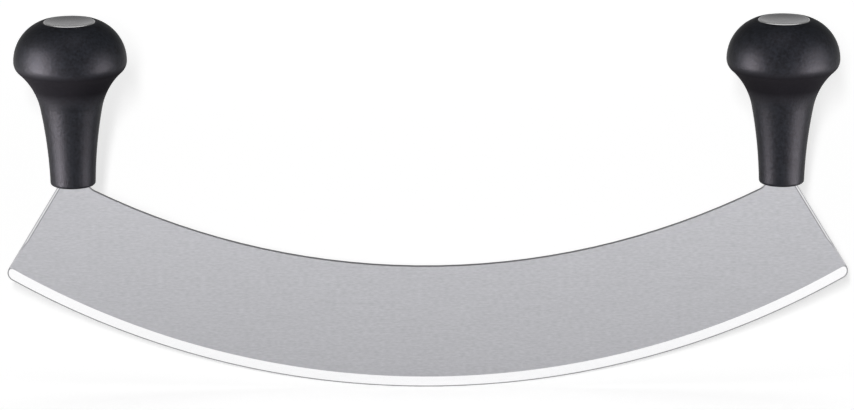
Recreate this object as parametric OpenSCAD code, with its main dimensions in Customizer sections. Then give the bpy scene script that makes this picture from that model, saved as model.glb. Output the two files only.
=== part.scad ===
// Hand mezzaluna: one rocking blade between two upright knob handles.
// The cutting edge points down (-Z), the blade runs along X and its faces look along Y.
// The origin is the lowest point of the cutting edge, in the middle of the blade.

/* [Blade] */
// Length of the blade from tip to tip
blade_l = 280; // [250:1:310]
// Depth of the blade in the middle, from the cutting edge up to the spine
blade_depth = 41.9; // [34:0.1:50]
// Thickness of the sheet steel
blade_t = 2; // [1.5:0.1:3]
// Radius of the convex cutting edge
edge_r = 275; // [255:1:310]
// Radius of the concave spine
spine_r = 245.5; // [236:0.5:262]
// Slant of the blade's ends, in degrees from upright
end_slant = 31.2; // [26:0.1:36]
// Radius of the rounded tip between the end and the cutting edge
tip_r = 3; // [1.5:0.1:5]

/* [Grinding] */
// Width of the bevel ground along the cutting edge, on each face
bevel_w = 3.8; // [2:0.1:7]
// Width of the fine bevel honed at the very edge
hone_w = 0.35; // [0.2:0.05:0.8]
// Angle of that fine bevel to the sheet's face, in degrees
hone_angle = 20; // [16:1:30]
// Thickness left at the cutting edge
edge_t = 0.1; // [0.05:0.01:0.3]
// Width of the chamfer along each end of the blade, on each face
chamfer_w = 0.9; // [0.4:0.05:1]
// Depth of that chamfer into the sheet
chamfer_depth = 0.45; // [0.2:0.05:0.65]
// Share of the end's length where the chamfer keeps its full width
chamfer_full = 0.55; // [0.3:0.01:0.7]
// Share of the end's length where the chamfer has run out
chamfer_end = 0.8; // [0.75:0.01:0.9]

/* [Tang] */
// Width of the blade's neck, from the blade's end to the line of the tang's inner side
neck_w = 8.8; // [8.4:0.1:10]
// Rise from where the spine meets that line to the handle's foot
neck_rise = 0.6; // [0.3:0.1:1.4]
// Width of the tang inside the handle
tang_w = 7.5; // [6:0.1:7.8]
// Thickness of the tang
tang_t = 1.8; // [1.2:0.1:2]
// Length of the tang above the blade's shoulders
tang_l = 16; // [12:0.5:20]
// Radius of the fillet from the spine up to the tang
neck_fillet_r = 6.5; // [3:0.5:9]

/* [Handle] */
// Diameter of the handle's foot
foot_d = 15; // [13.5:0.1:17]
// Rounding of the foot's rim
foot_round = 1; // [0.5:0.1:1.6]
// Diameter of the stem where the neck begins
waist_d = 20.4; // [18.5:0.1:20.9]
// Height of that place above the foot
waist_h = 26; // [24:0.1:29]
// Bow of the stem, in degrees between its chord and its end
stem_bow = 4.6; // [2:0.1:6]
// Radius of the hollow neck under the knob
neck_r = 22.8; // [18:0.1:23.5]
// Slope of the knob's underside, in degrees from upright
underside = 46.7; // [42:0.1:47.3]
// Radius of the knob's lower shoulder
knob_shoulder_r = 4.7; // [3:0.1:5.4]
// Diameter of the knob
knob_d = 37.4; // [37:0.1:42]
// Radius of the crown's arc above the knob's widest place
crown_r = 14; // [12:0.1:17]
// Width of the flat lip round the cap
lip_w = 0.8; // [0.4:0.1:1.5]

/* [Fixing] */
// Height of the pocket's floor above the foot
floor_h = 30; // [27:0.5:34]
// Diameter of the pocket for the nut
pocket_d = 14; // [13.5:0.1:15]
// Diameter of the stud's thread
stud_d = 5; // [4:0.5:6]
// Length of the slot that holds the tang in the stud's foot
fork_l = 8; // [5:0.5:10]
// Length of thread that stands out of the nut
thread_out = 2; // [1:0.5:4]
// Diameter of the washer
washer_d = 12; // [11:0.5:13]
// Thickness of the washer
washer_t = 1; // [0.8:0.1:1.6]
// Width of the nut across its flats
nut_w = 8; // [7:0.5:10]
// Height of the nut
nut_h = 4.7; // [3:0.1:6]
// Gap between the tang and its slot, on each side
slot_gap = 0.1; // [0.05:0.05:0.3]
// Gap between the stud and its bore, on each side
bore_gap = 0.2; // [0.1:0.05:0.4]

/* [Cap] */
// Diameter of the cap
cap_d = 17.2; // [16:0.1:19]
// Wall of the drawn cap
cap_t = 0.8; // [0.5:0.1:1.2]
// Depth of the cap's skirt in its seat
cap_skirt = 5; // [3:0.5:7]
// Depth of the cap's shallow dish
cap_dish = 0.6; // [0.3:0.1:1.2]
// Diameter of the flat in the middle of the dish
dish_flat_d = 3; // [1:0.5:6]
// Width of the flat rim round the dish
cap_rim_w = 0.3; // [0.1:0.1:1]
// Rounding of the cap's outer edge
cap_edge_r = 0.5; // [0.3:0.05:0.8]
// Height of the cap's rim over the handle's lip
cap_proud = 0.15; // [0:0.05:0.5]
// Gap between the cap and its seat, on each side
cap_gap = 0.05; // [0.02:0.01:0.1]

/* [Hidden] */
$fn = 96;
// How far a cut runs past the face that it opens
over = 0.5;
// How far a rounding's circle stands over the lines that it joins, so that they cross and don't just touch
blend = 0.02;

// Blade outline, in the plane of the sheet with Y upwards. The right-hand side is worked out and mirrored.
edge_c = [0, edge_r];
spine_c = [0, blade_depth + spine_r];
tip_in = edge_r - tip_r + blend;
tip_c = [blade_l / 2 - tip_r, edge_r - sqrt(pow(tip_in, 2) - pow(blade_l / 2 - tip_r, 2))];
end_up = [-sin(end_slant), cos(end_slant)];
end_out = [cos(end_slant), sin(end_slant)];
end_low = tip_c + (tip_r - blend) * end_out;

// Where the blade has narrowed to the neck's width, a line beside the end meets the spine. The tang's inner side
// stands there, and the handle sits a little higher.
neck_from = end_low - [neck_w, 0] - spine_c;
narrow_l = -neck_from * end_up - sqrt(pow(neck_from * end_up, 2) - neck_from * neck_from + pow(spine_r, 2));
tang_in = end_low[0] - neck_w - narrow_l * sin(end_slant);
end_l = narrow_l + neck_rise / cos(end_slant);
end_top = end_low + end_l * end_up;
seat_h = end_top[1];
grip_x = tang_in + tang_w / 2;

// The neck fillet runs from the spine towards the tang's inner side, and the handle's foot covers its upper end.
fillet_in = spine_r - neck_fillet_r + blend;
fillet_x = tang_in - neck_fillet_r + blend;
fillet_c = [fillet_x, spine_c[1] - sqrt(pow(fillet_in, 2) - pow(fillet_x, 2))];

// Handle outline, from the foot up: every stretch runs on from the one before.
foot_top = [foot_d / 2, foot_round];
waist = [waist_d / 2, waist_h];
stem = waist - foot_top;
stem_lean = atan2(stem[0], stem[1]);
waist_lean = stem_lean + stem_bow;
stem_r = norm(stem) / (2 * sin(stem_bow));
stem_c = waist + stem_r * [cos(waist_lean), -sin(waist_lean)];
neck_c = waist + neck_r * [cos(waist_lean), -sin(waist_lean)];
under_in = neck_c - neck_r * [cos(underside), -sin(underside)];
under_l = (knob_d / 2 - knob_shoulder_r * (1 - cos(underside)) - under_in[0]) / sin(underside);
under_out = under_in + under_l * [sin(underside), cos(underside)];
knob_c = under_out - knob_shoulder_r * [cos(underside), -sin(underside)];
knob_h = knob_c[1];

// The crown ends at the lip, a flat ring round the cap's seat.
crown_c = [knob_d / 2 - crown_r, knob_h];
lip_end = acos((cap_d / 2 + lip_w - crown_c[0]) / crown_r);
rim_h = knob_h + crown_r * sin(lip_end);

// Cap and its seat
ledge_h = rim_h - cap_skirt;
cap_top = rim_h + cap_proud;
edge_in = cap_d / 2 - cap_edge_r;
dish_run = edge_in - cap_rim_w - dish_flat_d / 2;
dish_r = (pow(dish_run, 2) + pow(cap_dish, 2)) / (2 * cap_dish);

stud_low = tang_l - fork_l;
stud_top = floor_h + washer_t + nut_h + thread_out;
stud_end = 0.5;
thread_gap = 0.05;
washer_gap = 0.15;

function unit(v) = v / norm(v);
function arc(c, r, from, to, n) = [for (i = [0 : n]) c + r * turned(from + (to - from) * i / n)];
function turned(a) = [cos(a), sin(a)];

module both_ends() {
    children();
    mirror([1, 0, 0]) children();
}

module both_faces() {
    children();
    mirror([0, 0, 1]) children();
}

module at_grip(side) {
    translate([side * grip_x, 0, seat_h]) children();
}

// What a rounding takes off a corner: the sector between two directions, outside the circle
module corner_waste(c, r, dir_a, dir_b) {
    translate(c) difference() {
        polygon([[0, 0], 2 * r * dir_a, 2 * r * (dir_a + dir_b), 2 * r * dir_b]);
        circle(r);
    }
}

// The hollow over the spine, between the two tangs
module spine_space() {
    difference() {
        intersection() {
            translate(spine_c) circle(spine_r, $fn = 720);
            translate([-tang_in, 0]) square([2 * tang_in, 2 * spine_c[1]]);
        }
        both_ends() corner_waste(fillet_c, neck_fillet_r, [1, 0], unit(fillet_c - spine_c));
    }
}

module blade_outline() {
    foot = end_low - 2 * tip_r * end_up;
    difference() {
        intersection() {
            translate(edge_c) circle(edge_r, $fn = 720);
            polygon([[-foot[0], -over], [foot[0], -over], foot, end_top,
                     [-end_top[0], end_top[1]], [-foot[0], foot[1]]]);
        }
        spine_space();
        both_ends() corner_waste(tip_c, tip_r, end_out, unit(tip_c - edge_c));
    }
}

// Ring that grinds one face: its lower side is the bevel's cone about the edge's centre, then the honed one
module bevel_wheel() {
    hone = tan(hone_angle);
    hone_from = edge_t / 2 + hone_w * hone;
    slope = (blade_t / 2 - hone_from) / (bevel_w - hone_w);
    translate(edge_c) rotate_extrude($fn = 720)
        polygon([[edge_r - bevel_w - over / slope, blade_t / 2 + over],
                 [edge_r - hone_w, hone_from],
                 [edge_r + over, edge_t / 2 - over * hone],
                 [edge_r + over, blade_t / 2 + over]]);
}

// Chamfer along one end: full width down from the neck, then a run-out to the sheet's face
module end_grind() {
    slope = atan2(chamfer_depth, chamfer_w);
    face = norm([chamfer_w, chamfer_depth]);
    full_l = chamfer_full * end_l;
    run_l = (chamfer_end - chamfer_full) * end_l;
    rise = chamfer_w * sin(slope);
    translate([end_top[0], end_top[1], blade_t / 2]) rotate([0, 0, end_slant - 90])
        translate([0, -chamfer_w, 0]) rotate([-slope, 0, 0])
            translate([0, face / 2, 0]) rotate([90, 0, 0]) linear_extrude(3 * face, center = true)
                polygon([[-tip_r, 0], [full_l, 0], [full_l + 2 * run_l, 2 * rise],
                         [full_l + 2 * run_l, 3 * face], [-tip_r, 3 * face]]);
}

module tang() {
    translate([tang_in, seat_h - over, -tang_t / 2]) cube([tang_w, over + tang_l, tang_t]);
}

module blade() {
    color("silver") rotate([90, 0, 0]) {
        difference() {
            linear_extrude(blade_t, center = true) blade_outline();
            both_faces() bevel_wheel();
            both_faces() both_ends() end_grind();
        }
        both_ends() tang();
    }
}

module handle_body() {
    rotate_extrude($fn = 144) polygon(concat(
        [[0, 0]],
        arc([foot_top[0] - foot_round, foot_round], foot_round, -90, 0, 5),
        arc(stem_c, stem_r, 180 - stem_lean + stem_bow, 180 - waist_lean, 6),
        arc(neck_c, neck_r, 180 - waist_lean, 180 - underside, 9),
        arc(knob_c, knob_shoulder_r, -underside, 0, 7),
        arc(crown_c, crown_r, 0, lip_end, 14),
        [[0, rim_h]]));
}

module handle() {
    slot = [tang_w, tang_t, tang_l] + slot_gap * [2, 2, 1];
    color("#2b2a2d") difference() {
        handle_body();
        translate([-slot[0] / 2, -slot[1] / 2, -over]) cube(slot + [0, 0, over]);
        translate([0, 0, stud_low - slot_gap]) cylinder(floor_h, d = stud_d + 2 * bore_gap);
        translate([0, 0, floor_h]) cylinder(ledge_h - floor_h + over, d = pocket_d);
        translate([0, 0, ledge_h]) cylinder(cap_skirt + cap_d, d = cap_d + 2 * cap_gap);
    }
}

module stud() {
    color("lightgray") difference() {
        union() {
            translate([0, 0, stud_low]) cylinder(stud_top - stud_end - stud_low, d = stud_d);
            translate([0, 0, stud_top - stud_end]) cylinder(stud_end, d1 = stud_d, d2 = stud_d - 2 * stud_end);
        }
        translate([-stud_d, -tang_t / 2, stud_low - over]) cube([2 * stud_d, tang_t, fork_l + over]);
    }
}

module washer() {
    color("gainsboro") translate([0, 0, floor_h]) difference() {
        cylinder(washer_t, d = washer_d);
        translate([0, 0, -over]) cylinder(washer_t + 2 * over, d = stud_d + 2 * washer_gap);
    }
}

// Hexagon nut with both faces chamfered down to the width across the flats
module nut() {
    corner_r = nut_w / 2 / cos(30);
    drop = (corner_r - nut_w / 2) * tan(30);
    color("gainsboro") translate([0, 0, floor_h + washer_t]) difference() {
        intersection() {
            cylinder(nut_h, r = corner_r, $fn = 6);
            rotate_extrude() polygon([[0, 0], [nut_w / 2, 0], [corner_r, drop], [corner_r, nut_h - drop],
                                      [nut_w / 2, nut_h], [0, nut_h]]);
        }
        translate([0, 0, -over]) cylinder(nut_h + 2 * over, d = stud_d + 2 * thread_gap);
    }
}

// Drawn cap, open below: the skirt stands on the seat's ledge, and the top is a shallow dish in a flat rim
module cap() {
    dish_c = [dish_flat_d / 2, cap_top - cap_dish + dish_r];
    rise = asin(dish_run / dish_r);
    inner = cap_d / 2 - cap_t;
    dish = arc(dish_c, dish_r, -90 + rise, -90, 8);
    under = arc(dish_c, dish_r + cap_t, -90, -90 + rise, 8);
    color("darkgray") rotate_extrude() polygon(concat(
        [[inner, ledge_h], [cap_d / 2, ledge_h]],
        arc([edge_in, cap_top - cap_edge_r], cap_edge_r, 0, 90, 5),
        dish,
        [[0, cap_top - cap_dish], [0, cap_top - cap_dish - cap_t]],
        [for (p = under) if (p[0] < inner) p],
        [[inner, cap_top - cap_t]]));
}

module left_handle() { at_grip(-1) handle(); }
module right_handle() { at_grip(1) handle(); }
module left_stud() { at_grip(-1) stud(); }
module right_stud() { at_grip(1) stud(); }
module left_washer() { at_grip(-1) washer(); }
module right_washer() { at_grip(1) washer(); }
module left_nut() { at_grip(-1) nut(); }
module right_nut() { at_grip(1) nut(); }
module left_cap() { at_grip(-1) cap(); }
module right_cap() { at_grip(1) cap(); }

blade();
left_handle();
right_handle();
left_stud();
right_stud();
left_washer();
right_washer();
left_nut();
right_nut();
left_cap();
right_cap();
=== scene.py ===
# Hand mezzaluna: a satin steel rocking blade between two upright black plastic handles with steel caps.
# Lengths of the object and of the camera's view are in millimetres. Those of the floor and the lights are in
# metres, like the frame and everything in Blender.

import math

import bmesh
import bpy
import numpy as np
from mathutils import Matrix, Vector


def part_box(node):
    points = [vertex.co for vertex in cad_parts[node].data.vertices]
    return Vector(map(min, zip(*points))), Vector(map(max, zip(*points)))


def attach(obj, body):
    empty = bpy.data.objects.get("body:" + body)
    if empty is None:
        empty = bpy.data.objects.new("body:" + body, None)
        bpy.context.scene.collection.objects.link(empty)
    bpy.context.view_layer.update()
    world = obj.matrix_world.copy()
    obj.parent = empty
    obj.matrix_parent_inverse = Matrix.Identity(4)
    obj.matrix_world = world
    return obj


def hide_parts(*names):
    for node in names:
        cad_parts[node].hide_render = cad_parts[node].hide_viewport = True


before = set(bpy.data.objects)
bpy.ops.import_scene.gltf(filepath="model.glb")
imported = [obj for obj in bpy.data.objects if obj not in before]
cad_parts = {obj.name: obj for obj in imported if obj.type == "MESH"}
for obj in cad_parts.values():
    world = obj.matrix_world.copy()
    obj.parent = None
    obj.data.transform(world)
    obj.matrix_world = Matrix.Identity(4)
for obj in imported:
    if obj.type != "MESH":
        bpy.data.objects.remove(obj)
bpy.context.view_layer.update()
print("frame loaded:", len(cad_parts), "nodes")

scene = bpy.context.scene
mm = 0.001
weldDistance = 1e-7  # metres
nearZero = 1e-9  # keeps a division away from 0
white = (1, 1, 1, 1)

# Sockets that share a name are taken by number: a Math node's two, and a Mix node's factor, its two numbers
# and its two colours. So are a Mix node's results.
first, second = 0, 1
factor, numberA, numberB, colorA, colorB = 0, 2, 3, 6, 7
mixedNumber, mixedColor = 0, 2


# Turns a hex sRGB colour into linear red, green, blue and alpha.
def linearColor(hexText):
    srgb = np.array([int(hexText[i:i + 2], 16) for i in (1, 3, 5)]) / 255
    linear = np.where(srgb <= 0.04045, srgb / 12.92, ((srgb + 0.055) / 1.055) ** 2.4)
    return (*linear.tolist(), 1.0)


# Adds one node to a material or a world. A setting is an input's value or a property of the node, and a link
# joins an input to another node's output.
def addNode(owner, kind, settings=None, links=None):
    tree = owner.node_tree
    node = tree.nodes.new("ShaderNode" + kind)
    for name, value in (settings or {}).items():
        if isinstance(name, int) or name in node.inputs:
            node.inputs[name].default_value = value
        else:
            setattr(node, name, value)
    for name, source in (links or {}).items():
        tree.links.new(source, node.inputs[name])
    return node


# Gives a new material or world an empty node tree.
def startNodes(owner):
    owner.use_nodes = True
    owner.node_tree.nodes.clear()
    return owner


def newMaterial(name):
    return startNodes(bpy.data.materials.new(name))


def finishMaterial(material, surface):
    addNode(material, "OutputMaterial", links={"Surface": surface})
    return material


def paint(piece, material):
    piece.data.materials.clear()
    piece.data.materials.append(material)


def addObject(name, data):
    item = bpy.data.objects.new(name, data)
    scene.collection.objects.link(item)
    return item


# Turns an object so that its own three axes point right, up and back, and puts it in its place.
def placeObject(item, right, up, back, place):
    turn = np.eye(4)
    turn[:3] = np.stack([right, up, back, place], -1)
    item.matrix_world = Matrix(turn.tolist())


# Puts a grid of points into a mesh: point (i, j) is joined to its neighbours (i + 1, j) and (i, j + 1).
# A wrapped direction joins its last row or column to the first. Points that meet are merged.
def meshFromGrid(name, points, wrapRows, wrapColumns):
    rows, columns = points.shape[:2]
    faceRows, faceColumns = rows - (not wrapRows), columns - (not wrapColumns)
    i, j = np.meshgrid(np.arange(faceRows), np.arange(faceColumns), indexing="ij")
    nextI, nextJ = (i + 1) % rows, (j + 1) % columns
    corners = [i * columns + j, i * columns + nextJ, nextI * columns + nextJ, nextI * columns + j]
    faces = np.stack(corners, -1).reshape(-1, 4)
    mesh = bpy.data.meshes.new(name)
    mesh.from_pydata(points.reshape(-1, 3), [], faces.tolist())
    shape = bmesh.new()
    shape.from_mesh(mesh)
    bmesh.ops.remove_doubles(shape, verts=shape.verts, dist=weldDistance)
    bmesh.ops.recalc_face_normals(shape, faces=shape.faces)
    shape.to_mesh(mesh)
    shape.free()
    mesh.shade_smooth()
    return addObject(name, mesh)


# Points of an arc: centre + radius (cos a, sin a), with a in even steps. The two angles are in degrees.
def arcPoints(center, radius, fromAngle, toAngle, count):
    angle = np.radians(np.linspace(fromAngle, toAngle, count))
    return np.array(center) + radius * np.stack([np.cos(angle), np.sin(angle)], -1)


# Straight walls through the given corners, with a small flat of the given size across each corner.
def wallPoints(corners, flat):
    start, end = np.array(corners[:-1], float), np.array(corners[1:], float)
    run = (end - start) / np.linalg.norm(end - start, axis=1, keepdims=True)
    return np.stack([start + flat * run, end - flat * run], 1).reshape(-1, 2)


# Angles that go once round, evenly, in radians.
def circleAngles(steps):
    return 2 * math.pi * np.arange(steps) / steps


# A surface of revolution round the upright axis in the middle of a box: x = cx + r cos a, y = r sin a and
# z = foot + h. The radius r and the height h have a row for each ring and a column for each angle.
def turnedSurface(name, box, radius, height, wrapRings):
    low, high = box
    angle = circleAngles(radius.shape[1])
    centerX = (low.x + high.x) / 2
    x = centerX + mm * radius * np.cos(angle)
    y = mm * radius * np.sin(angle)
    z = low.z + mm * height
    return meshFromGrid(name, np.stack([x, y, z], -1), wrapRings, True)


handleShape = {
    "footDiameter": 15,
    "footRound": 1,
    "waistDiameter": 20.4,
    "waistHeight": 26,
    "stemBow": 4.6,  # degrees between the stem's curve and its straight line, at each end
    "neckRadius": 22.8,
    "underside": 46.7,  # degrees between the knob's underside and the handle's axis
    "shoulderRadius": 4.7,
    "knobDiameter": 37.4,
    "crownRadius": 14,
    "lipRadius": 9.4,
    "lipRound": 0.3,
    "slotWidth": 7.7,
    "slotDepth": 2.0,
    "slotHeight": 16.1,
    "boreDiameter": 5.4,
    "boreFrom": 7.9,
    "pocketDiameter": 14,
    "pocketFloor": 30,
    "seatDiameter": 17.3,
    "seatDepth": 5,
    "seatRound": 0.15,
    "cornerFlat": 0.1,
    "steps": 288,
    "pointsOn": {"foot": 10, "stem": 30, "neck": 40, "shoulder": 24, "crown": 60, "lip": 8, "seat": 6},
}


# Outline of the handle from its foot to the crown, as radius and height: an arc round the foot's rim, a long
# arc up the stem, a hollow arc at the neck, a straight underside, an arc round the knob's shoulder and one
# over the crown. A small arc turns the crown into the flat lip round the cap's seat.
def handleOutline(shape):
    footTop = np.array([shape["footDiameter"] / 2, shape["footRound"]])
    waist = np.array([shape["waistDiameter"] / 2, shape["waistHeight"]])
    stem = waist - footTop
    stemLean = math.degrees(math.atan2(stem[0], stem[1]))
    waistLean = stemLean + shape["stemBow"]
    stemRadius = np.hypot(*stem) / (2 * math.sin(math.radians(shape["stemBow"])))
    outward = np.array([math.cos(math.radians(waistLean)), -math.sin(math.radians(waistLean))])
    stemCenter = waist + stemRadius * outward
    neckCenter = waist + shape["neckRadius"] * outward
    slope = math.radians(shape["underside"])
    down = np.array([math.cos(slope), -math.sin(slope)])
    underIn = neckCenter - shape["neckRadius"] * down
    shoulderOut = shape["knobDiameter"] / 2 - shape["shoulderRadius"] * (1 - math.cos(slope))
    underLength = (shoulderOut - underIn[0]) / math.sin(slope)
    underOut = underIn + underLength * np.array([math.sin(slope), math.cos(slope)])
    knobCenter = underOut - shape["shoulderRadius"] * down
    crownCenter = np.array([shape["knobDiameter"] / 2 - shape["crownRadius"], knobCenter[1]])
    lipAngle = math.acos((shape["lipRadius"] - crownCenter[0]) / shape["crownRadius"])
    rimHeight = crownCenter[1] + shape["crownRadius"] * math.sin(lipAngle)
    # The small arc touches the crown from inside and the lip from below.
    lipRise = (rimHeight - shape["lipRound"] - crownCenter[1]) / (shape["crownRadius"] - shape["lipRound"])
    lipFrom = math.degrees(math.asin(lipRise))
    lipCenter = arcPoints(crownCenter, shape["crownRadius"] - shape["lipRound"], lipFrom, lipFrom, 1)[0]
    count = shape["pointsOn"]
    stemFrom = 180 - stemLean + shape["stemBow"]
    return np.concatenate([
        arcPoints(footTop - [shape["footRound"], 0], shape["footRound"], -90, 0, count["foot"]),
        arcPoints(stemCenter, stemRadius, stemFrom, 180 - waistLean, count["stem"])[:-1],
        arcPoints(neckCenter, shape["neckRadius"], 180 - waistLean, 180 - shape["underside"], count["neck"]),
        arcPoints(knobCenter, shape["shoulderRadius"], -shape["underside"], 0, count["shoulder"])[:-1],
        arcPoints(crownCenter, shape["crownRadius"], 0, lipFrom, count["crown"])[:-1],
        arcPoints(lipCenter, shape["lipRound"], lipFrom, 90, count["lip"]),
    ])


# The handle is a closed surface of revolution whose outline goes up the outside, over the lip into the cap's
# seat and down the pocket, the bore and the tang's slot. In the slot the radius follows the slot's rectangle:
# r(a) = min(w / 2|cos a|, d / 2|sin a|).
def makeHandle(side, shape):
    low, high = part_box(side + "_handle")
    outside = handleOutline(shape)
    rimHeight = outside[-1][1]
    seatTop = rimHeight - shape["seatRound"]
    ledge = high.z / mm - low.z / mm - shape["seatDepth"]
    seat, pocket, bore = (shape[k] / 2 for k in ("seatDiameter", "pocketDiameter", "boreDiameter"))
    seatIn = seat + shape["seatRound"]
    lip = arcPoints([seatIn, seatTop], shape["seatRound"], 90, 180, shape["pointsOn"]["seat"])
    inside = wallPoints([
        [seat, seatTop],
        [seat, ledge],
        [pocket, ledge],
        [pocket, shape["pocketFloor"]],
        [bore, shape["pocketFloor"]],
        [bore, shape["slotHeight"]],
    ], shape["cornerFlat"])
    angle = circleAngles(shape["steps"])
    across = shape["slotWidth"] / 2 / np.maximum(np.abs(np.cos(angle)), nearZero)
    deep = shape["slotDepth"] / 2 / np.maximum(np.abs(np.sin(angle)), nearZero)
    slot = np.minimum(across, deep)
    wide = np.maximum(slot, bore)
    slotHeights = np.array([shape["slotHeight"], shape["boreFrom"], shape["boreFrom"], 0])
    rings = np.concatenate([outside, lip, inside])
    radius = np.concatenate([np.repeat(rings[:, :1], shape["steps"], 1), [wide, wide, slot, slot]])
    height = np.repeat(np.concatenate([rings[:, 1], slotHeights])[:, None], shape["steps"], 1)
    handle = turnedSurface(side + "Handle", (low, high), radius, height, True)
    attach(handle, "root")
    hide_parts(side + "_handle")
    return handle


capShape = {
    "wall": 0.8,
    "edgeRound": 0.5,
    "rimWidth": 0.3,
    "dish": 0.6,
    "dishFlat": 3,
    "cornerFlat": 0.1,
    "steps": 192,
    "pointsOn": {"dish": 30, "edge": 12, "under": 20},
}


# The cap is a drawn cup, a surface of revolution: a shallow dish with a flat middle, a flat rim with a
# rounded edge and a skirt, with the same shapes again on the inside, one wall thickness away.
def makeCap(side, shape):
    low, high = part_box(side + "_cap")
    capRadius = (high.x - low.x) / 2 / mm
    capHeight = (high.z - low.z) / mm
    edgeIn = capRadius - shape["edgeRound"]
    edgeLow = capHeight - shape["edgeRound"]
    inner = capRadius - shape["wall"]
    middle = shape["dishFlat"] / 2
    run = edgeIn - shape["rimWidth"] - middle
    dishRadius = (run ** 2 + shape["dish"] ** 2) / (2 * shape["dish"])
    lean = math.degrees(math.asin(run / dishRadius))
    dishCenter = [middle, capHeight - shape["dish"] + dishRadius]
    count = shape["pointsOn"]
    top = arcPoints(dishCenter, dishRadius, -90, lean - 90, count["dish"])
    edge = arcPoints([edgeIn, edgeLow], shape["edgeRound"], 90, 0, count["edge"])
    skirt = wallPoints([
        [capRadius, edgeLow],
        [capRadius, 0],
        [inner, 0],
        [inner, capHeight - shape["wall"]],
    ], shape["cornerFlat"])
    under = arcPoints(dishCenter, dishRadius + shape["wall"], lean - 90, -90, count["under"])
    under = under[under[:, 0] < inner - shape["cornerFlat"]]
    rings = np.concatenate([[[0, top[0][1]]], top, edge, skirt, under, [[0, under[-1][1]]]])
    radius = np.repeat(rings[:, :1], shape["steps"], 1)
    height = np.repeat(rings[:, 1:], shape["steps"], 1)
    cap = turnedSurface(side + "Cap", (low, high), radius, height, False)
    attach(cap, "root")
    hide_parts(side + "_cap")
    return cap


plasticLook = {
    "color": "#15171b",
    "darkColor": "#0a0b0d",
    # painted shade: the hollow under the knob is painted nearly black
    "paintedHollowShade": "#020204",
    "specular": 0.06,
    "specularTint": "#fdf2ff",
    "roughness": 0.45,
    "roughnessSpread": 0.08,
    "roughHollow": 1.0,
    "hollow": (28, 33, 39, 41.5),  # heights over the foot: start, full from, full up to, end
    "grain": 0.9,  # the real grain of about 0.2 mm is drawn this coarse, or it would not show
    "grainDetail": 2.0,
    "cloud": 3.5,  # size of the soft patches in the grain
    "cloudDetail": 3.0,
    "cloudShare": 0.3,
    "mottleRange": (0.35, 0.65),  # where the mixed noise is all dark and all light
    "bumpHeight": 0.13,
    "bumpStrength": 0.6,
}


# Moulded polypropylene with an eroded texture: nearly black, with broad soft highlights and no sharp ones.
# Hands polish the crown, the shoulder and the stem, and the hollow under the knob stays as rough as moulded.
# The hollow is also painted nearly black: painted shade under the knob.
def mouldedPlastic(look):
    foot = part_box("left_handle")[0].z
    material = newMaterial("mouldedPolypropylene")
    place = addNode(material, "TexCoord").outputs["Object"]
    grain = addNode(material, "TexNoise", {"Scale": 1 / (look["grain"] * mm), "Detail": look["grainDetail"]},
                    {"Vector": place}).outputs["Fac"]
    cloud = addNode(material, "TexNoise", {"Scale": 1 / (look["cloud"] * mm), "Detail": look["cloudDetail"]},
                    {"Vector": place}).outputs["Fac"]
    mottle = addNode(material, "Mix", {factor: look["cloudShare"]}, {numberA: grain, numberB: cloud})
    dark, light = look["mottleRange"]
    strong = addNode(material, "MapRange", {"From Min": dark, "From Max": light},
                     {"Value": mottle.outputs[mixedNumber]})
    mottleColors = {colorA: linearColor(look["darkColor"]), colorB: linearColor(look["color"])}
    moulded = addNode(material, "Mix", {"data_type": "RGBA", **mottleColors}, {factor: strong.outputs[0]})

    height = addNode(material, "SeparateXYZ", links={"Vector": place}).outputs["Z"]
    start, fullFrom, fullTo, end = (foot + mm * level for level in look["hollow"])
    above = addNode(material, "MapRange", {"From Min": start, "From Max": fullFrom}, {"Value": height})
    below = addNode(material, "MapRange", {"From Min": end, "From Max": fullTo}, {"Value": height})
    hollow = addNode(material, "Math", {"operation": "MULTIPLY"},
                     {first: above.outputs[0], second: below.outputs[0]}).outputs[0]
    # Painted shade: the hollow under the knob is painted nearly black.
    color = addNode(material, "Mix", {"data_type": "RGBA", colorB: linearColor(look["paintedHollowShade"])},
                    {factor: hollow, colorA: moulded.outputs[mixedColor]})

    smoothest = look["roughness"] - look["roughnessSpread"]
    roughest = look["roughness"] + look["roughnessSpread"]
    worn = addNode(material, "MapRange", {"To Min": smoothest, "To Max": roughest}, {"Value": grain})
    rough = addNode(material, "Mix", {numberB: look["roughHollow"]},
                    {factor: hollow, numberA: worn.outputs[0]})
    bump = addNode(material, "Bump", {"Strength": look["bumpStrength"], "Distance": look["bumpHeight"] * mm},
                   {"Height": grain})
    gloss = {"Specular IOR Level": look["specular"], "Specular Tint": linearColor(look["specularTint"])}
    shader = addNode(material, "BsdfPrincipled", gloss, {
        "Base Color": color.outputs[mixedColor],
        "Roughness": rough.outputs[mixedNumber],
        "Normal": bump.outputs[0],
    })
    return finishMaterial(material, shader.outputs[0])


bladeLook = {
    "edgeRadius": 275,
    "tipRadius": 3,
    "endSlant": 31.2,  # degrees
    "bevelWidth": 3.8,
    "honeWidth": 0.42,
    "tongueRound": 1.2,
    "chamferWidth": 0.66,
    "chamferFrom": 0.2,  # share of the end's length, from the tip, that has no chamfer
    "chamferRun": 0.15,  # share of it over which the chamfer grows to its width
    "chamferLineWidth": 0.3,
    "endLineWidth": 0.34,
    "blur": 0.04,  # half of the blend between two zones
    "face": ("#9e9ea2", "#cfcfd3", 0.4),  # darkest and lightest colour, roughness
    # Painted light and shade on the ground zones: the chamfer and the bevel are painted brighter than the
    # face, the line along the chamfer and the honed edge darker, and the line along the end is painted edge
    # shading.
    "chamferLine": ("#929296", 0.4),  # colour, roughness
    "chamfer": ("#dcdcde", 0.3),
    "endLine": ("#c0c0c3", 0.4),
    "bevel": ("#fafafb", 0.14),
    "hone": ("#98989a", 0.3),
    "roughnessSpread": 0.04,
    # Real brush lines are under 0.1 mm wide and are drawn this coarse, or they would not show.
    "grain": (0.5, 1.8, 3.0),  # width, length, detail
    "streak": (1.6, 14, 2.0),
    "streakShare": 0.2,
    "bumpHeight": 0.006,
    "bumpStrength": 0.4,
}


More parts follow.
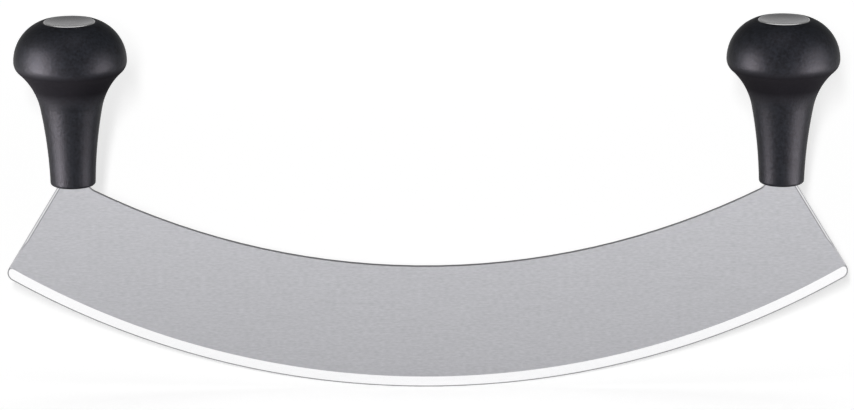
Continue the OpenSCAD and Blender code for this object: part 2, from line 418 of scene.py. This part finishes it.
# How far a point lies inside a rounded corner, given how far it lies inside each of the corner's two sides:
# the radius less the length of what each distance lacks of it.
def insideCorner(material, radius, insideOne, insideOther):
    pair = addNode(material, "CombineXYZ", links={"X": insideOne, "Y": insideOther})
    lack = addNode(material, "VectorMath", {"operation": "SUBTRACT", first: (radius, radius, 0)},
                   {second: pair.outputs[0]})
    kept = addNode(material, "VectorMath", {"operation": "MAXIMUM", second: (0, 0, 0)},
                   {first: lack.outputs[0]})
    length = addNode(material, "VectorMath", {"operation": "LENGTH"}, {first: kept.outputs[0]})
    inside = addNode(material, "Math", {"operation": "SUBTRACT", first: radius},
                     {second: length.outputs["Value"]})
    return inside.outputs[0]


# The ground zones of the sheet, in the order in which they lie over each other, each as how far a point lies
# inside it, in millimetres. They come from the distances to the cutting edge's arc and the end's straight
# line.
def groundZones(material, look, point):
    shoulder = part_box("left_handle")[0].z / mm
    slant = math.radians(look["endSlant"])
    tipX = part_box("blade")[1].x / mm - look["tipRadius"]
    tipZ = look["edgeRadius"] - math.sqrt((look["edgeRadius"] - look["tipRadius"]) ** 2 - tipX ** 2)
    endOffset = tipX * math.cos(slant) + tipZ * math.sin(slant) + look["tipRadius"]
    endLow = (tipX + look["tipRadius"] * math.cos(slant), tipZ + look["tipRadius"] * math.sin(slant))
    endLength = (shoulder - endLow[1]) / math.cos(slant)
    endStart = endLow[1] * math.cos(slant) - endLow[0] * math.sin(slant)

    flat = addNode(material, "VectorMath", {"operation": "MULTIPLY", second: (1, 0, 1)}, {first: point})
    toMiddle = addNode(material, "VectorMath", {"operation": "DISTANCE", second: (0, 0, look["edgeRadius"])},
                       {first: flat.outputs[0]})
    fromEdge = addNode(material, "Math", {"operation": "SUBTRACT", first: look["edgeRadius"]},
                       {second: toMiddle.outputs["Value"]}).outputs[0]
    folded = addNode(material, "VectorMath", {"operation": "ABSOLUTE"}, {first: flat.outputs[0]}).outputs[0]
    outOfEnd = (math.cos(slant), 0, math.sin(slant))
    upTheEnd = (-math.sin(slant), 0, math.cos(slant))
    outward = addNode(material, "VectorMath", {"operation": "DOT_PRODUCT", second: outOfEnd}, {first: folded})
    upward = addNode(material, "VectorMath", {"operation": "DOT_PRODUCT", second: upTheEnd}, {first: folded})
    fromEnd = addNode(material, "Math", {"operation": "SUBTRACT", first: endOffset},
                      {second: outward.outputs["Value"]}).outputs[0]

    # The chamfer has its full width near the handle and runs out towards the tip. A line of painted shade
    # lies along its inner side, and a thin painted line of edge shading along the whole end, paler than the
    # face and darker than the chamfer.
    runOut = endStart + look["chamferFrom"] * endLength
    full = runOut + look["chamferRun"] * endLength
    chamferWide = addNode(material, "MapRange",
                          {"From Min": runOut, "From Max": full, "To Max": look["chamferWidth"]},
                          {"Value": upward.outputs["Value"]})
    inChamfer = addNode(material, "Math", {"operation": "SUBTRACT"},
                        {first: chamferWide.outputs[0], second: fromEnd}).outputs[0]
    inLine = addNode(material, "Math", {"operation": "ADD", second: look["chamferLineWidth"]},
                     {first: inChamfer}).outputs[0]
    inEnd = addNode(material, "Math", {"operation": "SUBTRACT", first: look["endLineWidth"]},
                    {second: fromEnd}).outputs[0]

    # The bevel ends in a round tongue just short of the blade's end, and the finely honed edge goes round it.
    # The hone is painted darker, as painted shade along the cutting edge and round the tip.
    inBevel = addNode(material, "Math", {"operation": "SUBTRACT", first: look["bevelWidth"]},
                      {second: fromEdge}).outputs[0]
    pastHone = addNode(material, "Math", {"operation": "SUBTRACT", second: look["honeWidth"]},
                       {first: fromEnd}).outputs[0]
    inTongue = insideCorner(material, look["tongueRound"], pastHone, inBevel)
    inBlade = insideCorner(material, look["tipRadius"], fromEnd, fromEdge)
    nearOutline = addNode(material, "Math", {"operation": "SUBTRACT", first: look["honeWidth"]},
                          {second: inBlade}).outputs[0]
    inHone = addNode(material, "Math", {"operation": "MINIMUM"},
                     {first: nearOutline, second: inBevel}).outputs[0]
    return {"chamferLine": inLine, "chamfer": inChamfer, "endLine": inEnd, "bevel": inTongue, "hone": inHone}


# Stainless steel sheet, satin brushed along its length: an even soft grey with fine short lines. The ground
# zones are painted brighter and darker over the same steel: a polished bevel that mirrors the pale floor and
# is also painted near white, a painted reflection; a finely honed edge painted darker, a painted shade; and a
# chamfer on each end painted brighter, a painted highlight, with painted lines along it.
def brushedSheet(look):
    material = newMaterial("brushedStainlessSteel")
    place = addNode(material, "TexCoord").outputs["Object"]
    point = addNode(material, "VectorMath", {"operation": "SCALE", "Scale": 1 / mm},
                    {first: place}).outputs[0]
    noises = []
    for width, length, detail in (look["grain"], look["streak"]):
        stretch = (1 / length, 1, 1 / width)
        stretched = addNode(material, "VectorMath", {"operation": "MULTIPLY", second: stretch},
                            {first: point})
        noises.append(addNode(material, "TexNoise", {"Scale": 1.0, "Detail": detail},
                              {"Vector": stretched.outputs[0]}).outputs["Fac"])
    grain = addNode(material, "Mix", {factor: look["streakShare"]},
                    {numberA: noises[0], numberB: noises[1]}).outputs[mixedNumber]
    dark, light, faceRough = look["face"]
    faceColors = {colorA: linearColor(dark), colorB: linearColor(light)}
    smoothest, roughest = faceRough - look["roughnessSpread"], faceRough + look["roughnessSpread"]
    color = addNode(material, "Mix", {"data_type": "RGBA", **faceColors}, {factor: grain}).outputs[mixedColor]
    rough = addNode(material, "MapRange", {"To Min": smoothest, "To Max": roughest},
                    {"Value": grain}).outputs[0]
    # Each ground zone paints its own colour over the steel: painted highlight on the bevel and the chamfer,
    # painted shade on the hone and the chamfer's line, each with the zone's own roughness.
    for zone, inside in groundZones(material, look, point).items():
        zoneColor, zoneRough = look[zone]
        mask = addNode(material, "MapRange", {"From Min": -look["blur"], "From Max": look["blur"]},
                       {"Value": inside}).outputs[0]
        color = addNode(material, "Mix", {"data_type": "RGBA", colorB: linearColor(zoneColor)},
                        {factor: mask, colorA: color}).outputs[mixedColor]
        rough = addNode(material, "Mix", {numberB: zoneRough},
                        {factor: mask, numberA: rough}).outputs[mixedNumber]
    bump = addNode(material, "Bump", {"Strength": look["bumpStrength"], "Distance": look["bumpHeight"] * mm},
                   {"Height": grain})
    shader = addNode(material, "BsdfPrincipled", {"Metallic": 1.0},
                     {"Base Color": color, "Roughness": rough, "Normal": bump.outputs[0]})
    return finishMaterial(material, shader.outputs[0])


capLook = {
    "color": "#d8d8da",
    "darkColor": "#cacacb",
    "roughness": 0.24,
    # painted highlight: a band along the rim is painted near white
    "paintedRimHighlight": "#fbfbfb",
    "rimWidth": 0.5,
    "rimBlend": 0.1,
    "ringPitch": 0.35,  # the real tool marks of about 0.1 mm are drawn this coarse, or they would not show
    "ringDetail": 3.0,
    "bumpHeight": 0.004,
    "bumpStrength": 0.4,
}


# Drawn stainless steel, finished on a lathe: a soft grey mirror with fine rings round its middle. A band
# along the rim is painted near white, a painted highlight for the bright line that the polished rim catches.
def turnedSteel(side, look):
    low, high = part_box(side + "_cap")
    material = newMaterial("turnedStainlessSteel" + side.capitalize())
    place = addNode(material, "TexCoord").outputs["Object"]
    toMiddle = {"Location": (-(low.x + high.x) / 2, 0, 0), "Scale": (1, 1, 0)}
    middle = addNode(material, "Mapping", toMiddle, {"Vector": place}).outputs[0]
    radius = addNode(material, "VectorMath", {"operation": "LENGTH"}, {first: middle}).outputs["Value"]
    pattern = {"noise_dimensions": "1D", "Scale": 1 / (look["ringPitch"] * mm), "Detail": look["ringDetail"]}
    rings = addNode(material, "TexNoise", pattern, {"W": radius}).outputs["Fac"]
    ringColors = {colorA: linearColor(look["darkColor"]), colorB: linearColor(look["color"])}
    turned = addNode(material, "Mix", {"data_type": "RGBA", **ringColors}, {factor: rings})
    # Painted highlight: a band along the rim is painted near white.
    rimIn = (high.x - low.x) / 2 - look["rimWidth"] * mm
    blend = look["rimBlend"] * mm
    rim = addNode(material, "MapRange", {"From Min": rimIn - blend, "From Max": rimIn + blend},
                  {"Value": radius})
    color = addNode(material, "Mix", {"data_type": "RGBA", colorB: linearColor(look["paintedRimHighlight"])},
                    {factor: rim.outputs[0], colorA: turned.outputs[mixedColor]})
    bump = addNode(material, "Bump", {"Strength": look["bumpStrength"], "Distance": look["bumpHeight"] * mm},
                   {"Height": rings})
    shader = addNode(material, "BsdfPrincipled", {"Metallic": 1.0, "Roughness": look["roughness"]},
                     {"Base Color": color.outputs[mixedColor], "Normal": bump.outputs[0]})
    return finishMaterial(material, shader.outputs[0])


fixingLook = {
    "color": "#c4c4c2",
    "smoothest": 0.3,
    "roughest": 0.45,
    "grain": 0.4,
}


# Plain bright fixing steel, cold formed: a pale grey, slightly uneven sheen. It is hidden inside the handles.
def fixingSteel(look):
    material = newMaterial("brightFixingSteel")
    place = addNode(material, "TexCoord").outputs["Object"]
    grain = addNode(material, "TexNoise", {"Scale": 1 / (look["grain"] * mm)}, {"Vector": place})
    rough = addNode(material, "MapRange", {"To Min": look["smoothest"], "To Max": look["roughest"]},
                    {"Value": grain.outputs["Fac"]})
    shader = addNode(material, "BsdfPrincipled", {"Metallic": 1.0, "Base Color": linearColor(look["color"])},
                     {"Roughness": rough.outputs[0]})
    return finishMaterial(material, shader.outputs[0])


# Some lights are meant for one of these groups alone.
handles, caps, blades = (bpy.data.collections.new(name) for name in ("handles", "caps", "blades"))

blackPlastic = mouldedPlastic(plasticLook)
fixings = fixingSteel(fixingLook)
for side in ("left", "right"):
    handle = makeHandle(side, handleShape)
    handles.objects.link(handle)
    paint(handle, blackPlastic)
    cap = makeCap(side, capShape)
    caps.objects.link(cap)
    paint(cap, turnedSteel(side, capLook))
    for inner in ("stud", "washer", "nut"):
        paint(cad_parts[side + "_" + inner], fixings)
print("handles and caps made")

blades.objects.link(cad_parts["blade"])
paint(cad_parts["blade"], brushedSheet(bladeLook))
print("blade painted")

cameraSetup = {
    "pitch": 14.648,
    "yaw": 0.298,
    "roll": -0.256,
    "distance": 1487.7,
    "aim": (-0.089, 0, 62.95),
    "lens": 188.92,
    "sensor": 36,
    "clipEnd": 100,  # metres, past the floor's far edge
}


# The camera stands on a sphere round the aim, at the photograph's angle, and looks at the aim.
def makeCamera(setup):
    pitch, yaw, roll = (math.radians(setup[k]) for k in ("pitch", "yaw", "roll"))
    back = np.array([math.sin(yaw) * math.cos(pitch), -math.cos(yaw) * math.cos(pitch), math.sin(pitch)])
    place = mm * (np.array(setup["aim"]) + setup["distance"] * back)
    levelRight = np.cross(-back, [0, 0, 1])
    levelRight /= np.linalg.norm(levelRight)
    levelUp = np.cross(levelRight, -back)
    right = math.cos(roll) * levelRight + math.sin(roll) * levelUp
    up = math.cos(roll) * levelUp - math.sin(roll) * levelRight
    data = bpy.data.cameras.new("camera")
    data.lens = setup["lens"]
    data.sensor_width = setup["sensor"]
    data.clip_end = setup["clipEnd"]
    scene.camera = addObject("camera", data)
    placeObject(scene.camera, right, up, back, place)


makeCamera(cameraSetup)

floorLook = {
    "size": 60,
    "color": "#d6d6d6",
    "glow": (0.33, 0.64),  # the floor's own brightness in front and at the back
    "glowRange": (-0.1, 0.7),  # the places on Y between which it grows
}


# A plain pale floor. A part of its brightness is its own for camera, mirror and glass rays, so it stays
# white, and that part grows towards the back, where the lamps reach less.
def makeFloor(look):
    half = look["size"] / 2
    corners = [(-half, -half, 0), (half, -half, 0), (half, half, 0), (-half, half, 0)]
    mesh = bpy.data.meshes.new("floor")
    mesh.from_pydata(corners, [], [(0, 1, 2, 3)])
    floor = addObject("floor", mesh)
    material = newMaterial("paleFloor")
    rays = addNode(material, "LightPath").outputs
    seen = addNode(material, "Math", {"operation": "MAXIMUM"},
                   {first: rays["Is Camera Ray"], second: rays["Is Glossy Ray"]})
    seenAll = addNode(material, "Math", {"operation": "MAXIMUM"},
                      {first: seen.outputs[0], second: rays["Is Transmission Ray"]})
    place = addNode(material, "TexCoord").outputs["Object"]
    depth = addNode(material, "SeparateXYZ", links={"Vector": place}).outputs["Y"]
    front, back = look["glowRange"]
    frontGlow, backGlow = look["glow"]
    ramp = addNode(material, "MapRange",
                   {"From Min": front, "From Max": back, "To Min": frontGlow, "To Max": backGlow},
                   {"Value": depth})
    strength = addNode(material, "Math", {"operation": "MULTIPLY"},
                       {first: seenAll.outputs[0], second: ramp.outputs[0]})
    diffuse = addNode(material, "BsdfDiffuse", {"Color": linearColor(look["color"])})
    glow = addNode(material, "Emission", {"Color": white}, {"Strength": strength.outputs[0]})
    both = addNode(material, "AddShader", links={first: diffuse.outputs[0], second: glow.outputs[0]})
    paint(floor, finishMaterial(material, both.outputs[0]))


makeFloor(floorLook)

# A tall box at each side and a weak one overhead make the handles' highlights. Their stems, seen from above,
# mirror what lies lower, so a strip at each side stands below the floor's level. A panel is for the caps, and
# cards are for the blade's ground ends. A small lamp just over the camera makes the slim shadow on the floor,
# and a large one overhead the soft shade where the blade stands.
lightSetup = {
    # at: azimuth from the camera's side in degrees, distance, height. size: width, length.
    "leftStripBox": {"at": (-66, 0.5, -0.03), "size": (0.3, 0.05), "power": 12, "only": handles},
    "rightStripBox": {"at": (66, 0.5, -0.03), "size": (0.3, 0.05), "power": 9.2, "only": handles},
    "leftBox": {"at": (-68, 0.5, 0.16), "size": (0.3, 0.3), "power": 12.3, "only": handles},
    "rightBox": {"at": (68, 0.5, 0.16), "size": (0.3, 0.3), "power": 5.5, "only": handles},
    "topBox": {"at": (0, 0.25, 0.9), "size": (0.5, 0.5), "power": 3, "only": handles},
    "topPanel": {"at": (0, 0.1, 0.9), "size": (1.6, 0.8), "power": 2.6, "only": caps},
    "leftCard": {"at": (-52, 0.6, 0.18), "size": (0.3, 0.2), "power": 0.21, "only": blades},
    "rightCard": {"at": (52, 0.6, 0.18), "size": (0.3, 0.2), "power": 0.21, "only": blades},
    "frontLamp": {"at": (-0.3, 1.5, 0.48), "size": (0.016, 0.07), "power": 45, "only": None},
    "topLamp": {"at": (180, 0.15, 1.2), "size": (1.2, 1.2), "power": 4.5, "only": None},
}
lightAim = (0, 0, 0.06)


# A light is a rectangle that faces the middle of the object. One that is for a group shows only as a
# reflection in it and casts no shadow. The others light everything, and nothing mirrors them.
def makeLight(name, setup):
    azimuth, distance, height = setup["at"]
    turn = math.radians(azimuth)
    place = np.array([math.sin(turn) * distance, -math.cos(turn) * distance, height])
    back = place - lightAim
    back /= np.linalg.norm(back)
    right = np.cross([0, 0, 1], back)
    right /= np.linalg.norm(right)
    up = np.cross(back, right)
    lamp = bpy.data.lights.new(name, "AREA")
    lamp.shape = "RECTANGLE"
    lamp.size, lamp.size_y = setup["size"]
    lamp.energy = setup["power"]
    forAll = setup["only"] is None
    lamp.use_shadow = forAll
    light = addObject(name, lamp)
    placeObject(light, right, up, back, place)
    light.visible_camera = False
    light.visible_glossy = not forAll
    light.visible_diffuse = forAll
    if not forAll:
        light.light_linking.receiver_collection = setup["only"]


for name, setup in lightSetup.items():
    makeLight(name, setup)

worldLook = {
    "horizon": 0.5,
    "overhead": 0.17,
    "darkFrom": 0.5,  # the Z of a direction from which on the room is as dark as overhead
}


# The room is light near the horizon and dark overhead, and the camera sees it white.
def makeWorld(look):
    world = startNodes(bpy.data.worlds.new("studio"))
    rays = addNode(world, "LightPath").outputs
    direction = addNode(world, "TexCoord").outputs["Generated"]
    rise = addNode(world, "SeparateXYZ", links={"Vector": direction}).outputs["Z"]
    shades = {"From Max": look["darkFrom"], "To Min": look["horizon"], "To Max": look["overhead"]}
    room = addNode(world, "MapRange", shades, {"Value": rise})
    level = addNode(world, "MapRange", {"To Max": 1.0},
                    {"Value": rays["Is Camera Ray"], "To Min": room.outputs[0]})
    sky = addNode(world, "Background", {"Color": white}, {"Strength": level.outputs[0]})
    addNode(world, "OutputWorld", links={"Surface": sky.outputs[0]})
    scene.world = world


makeWorld(worldLook)
scene.view_settings.view_transform = "Standard"
print("floor, light and camera placed")
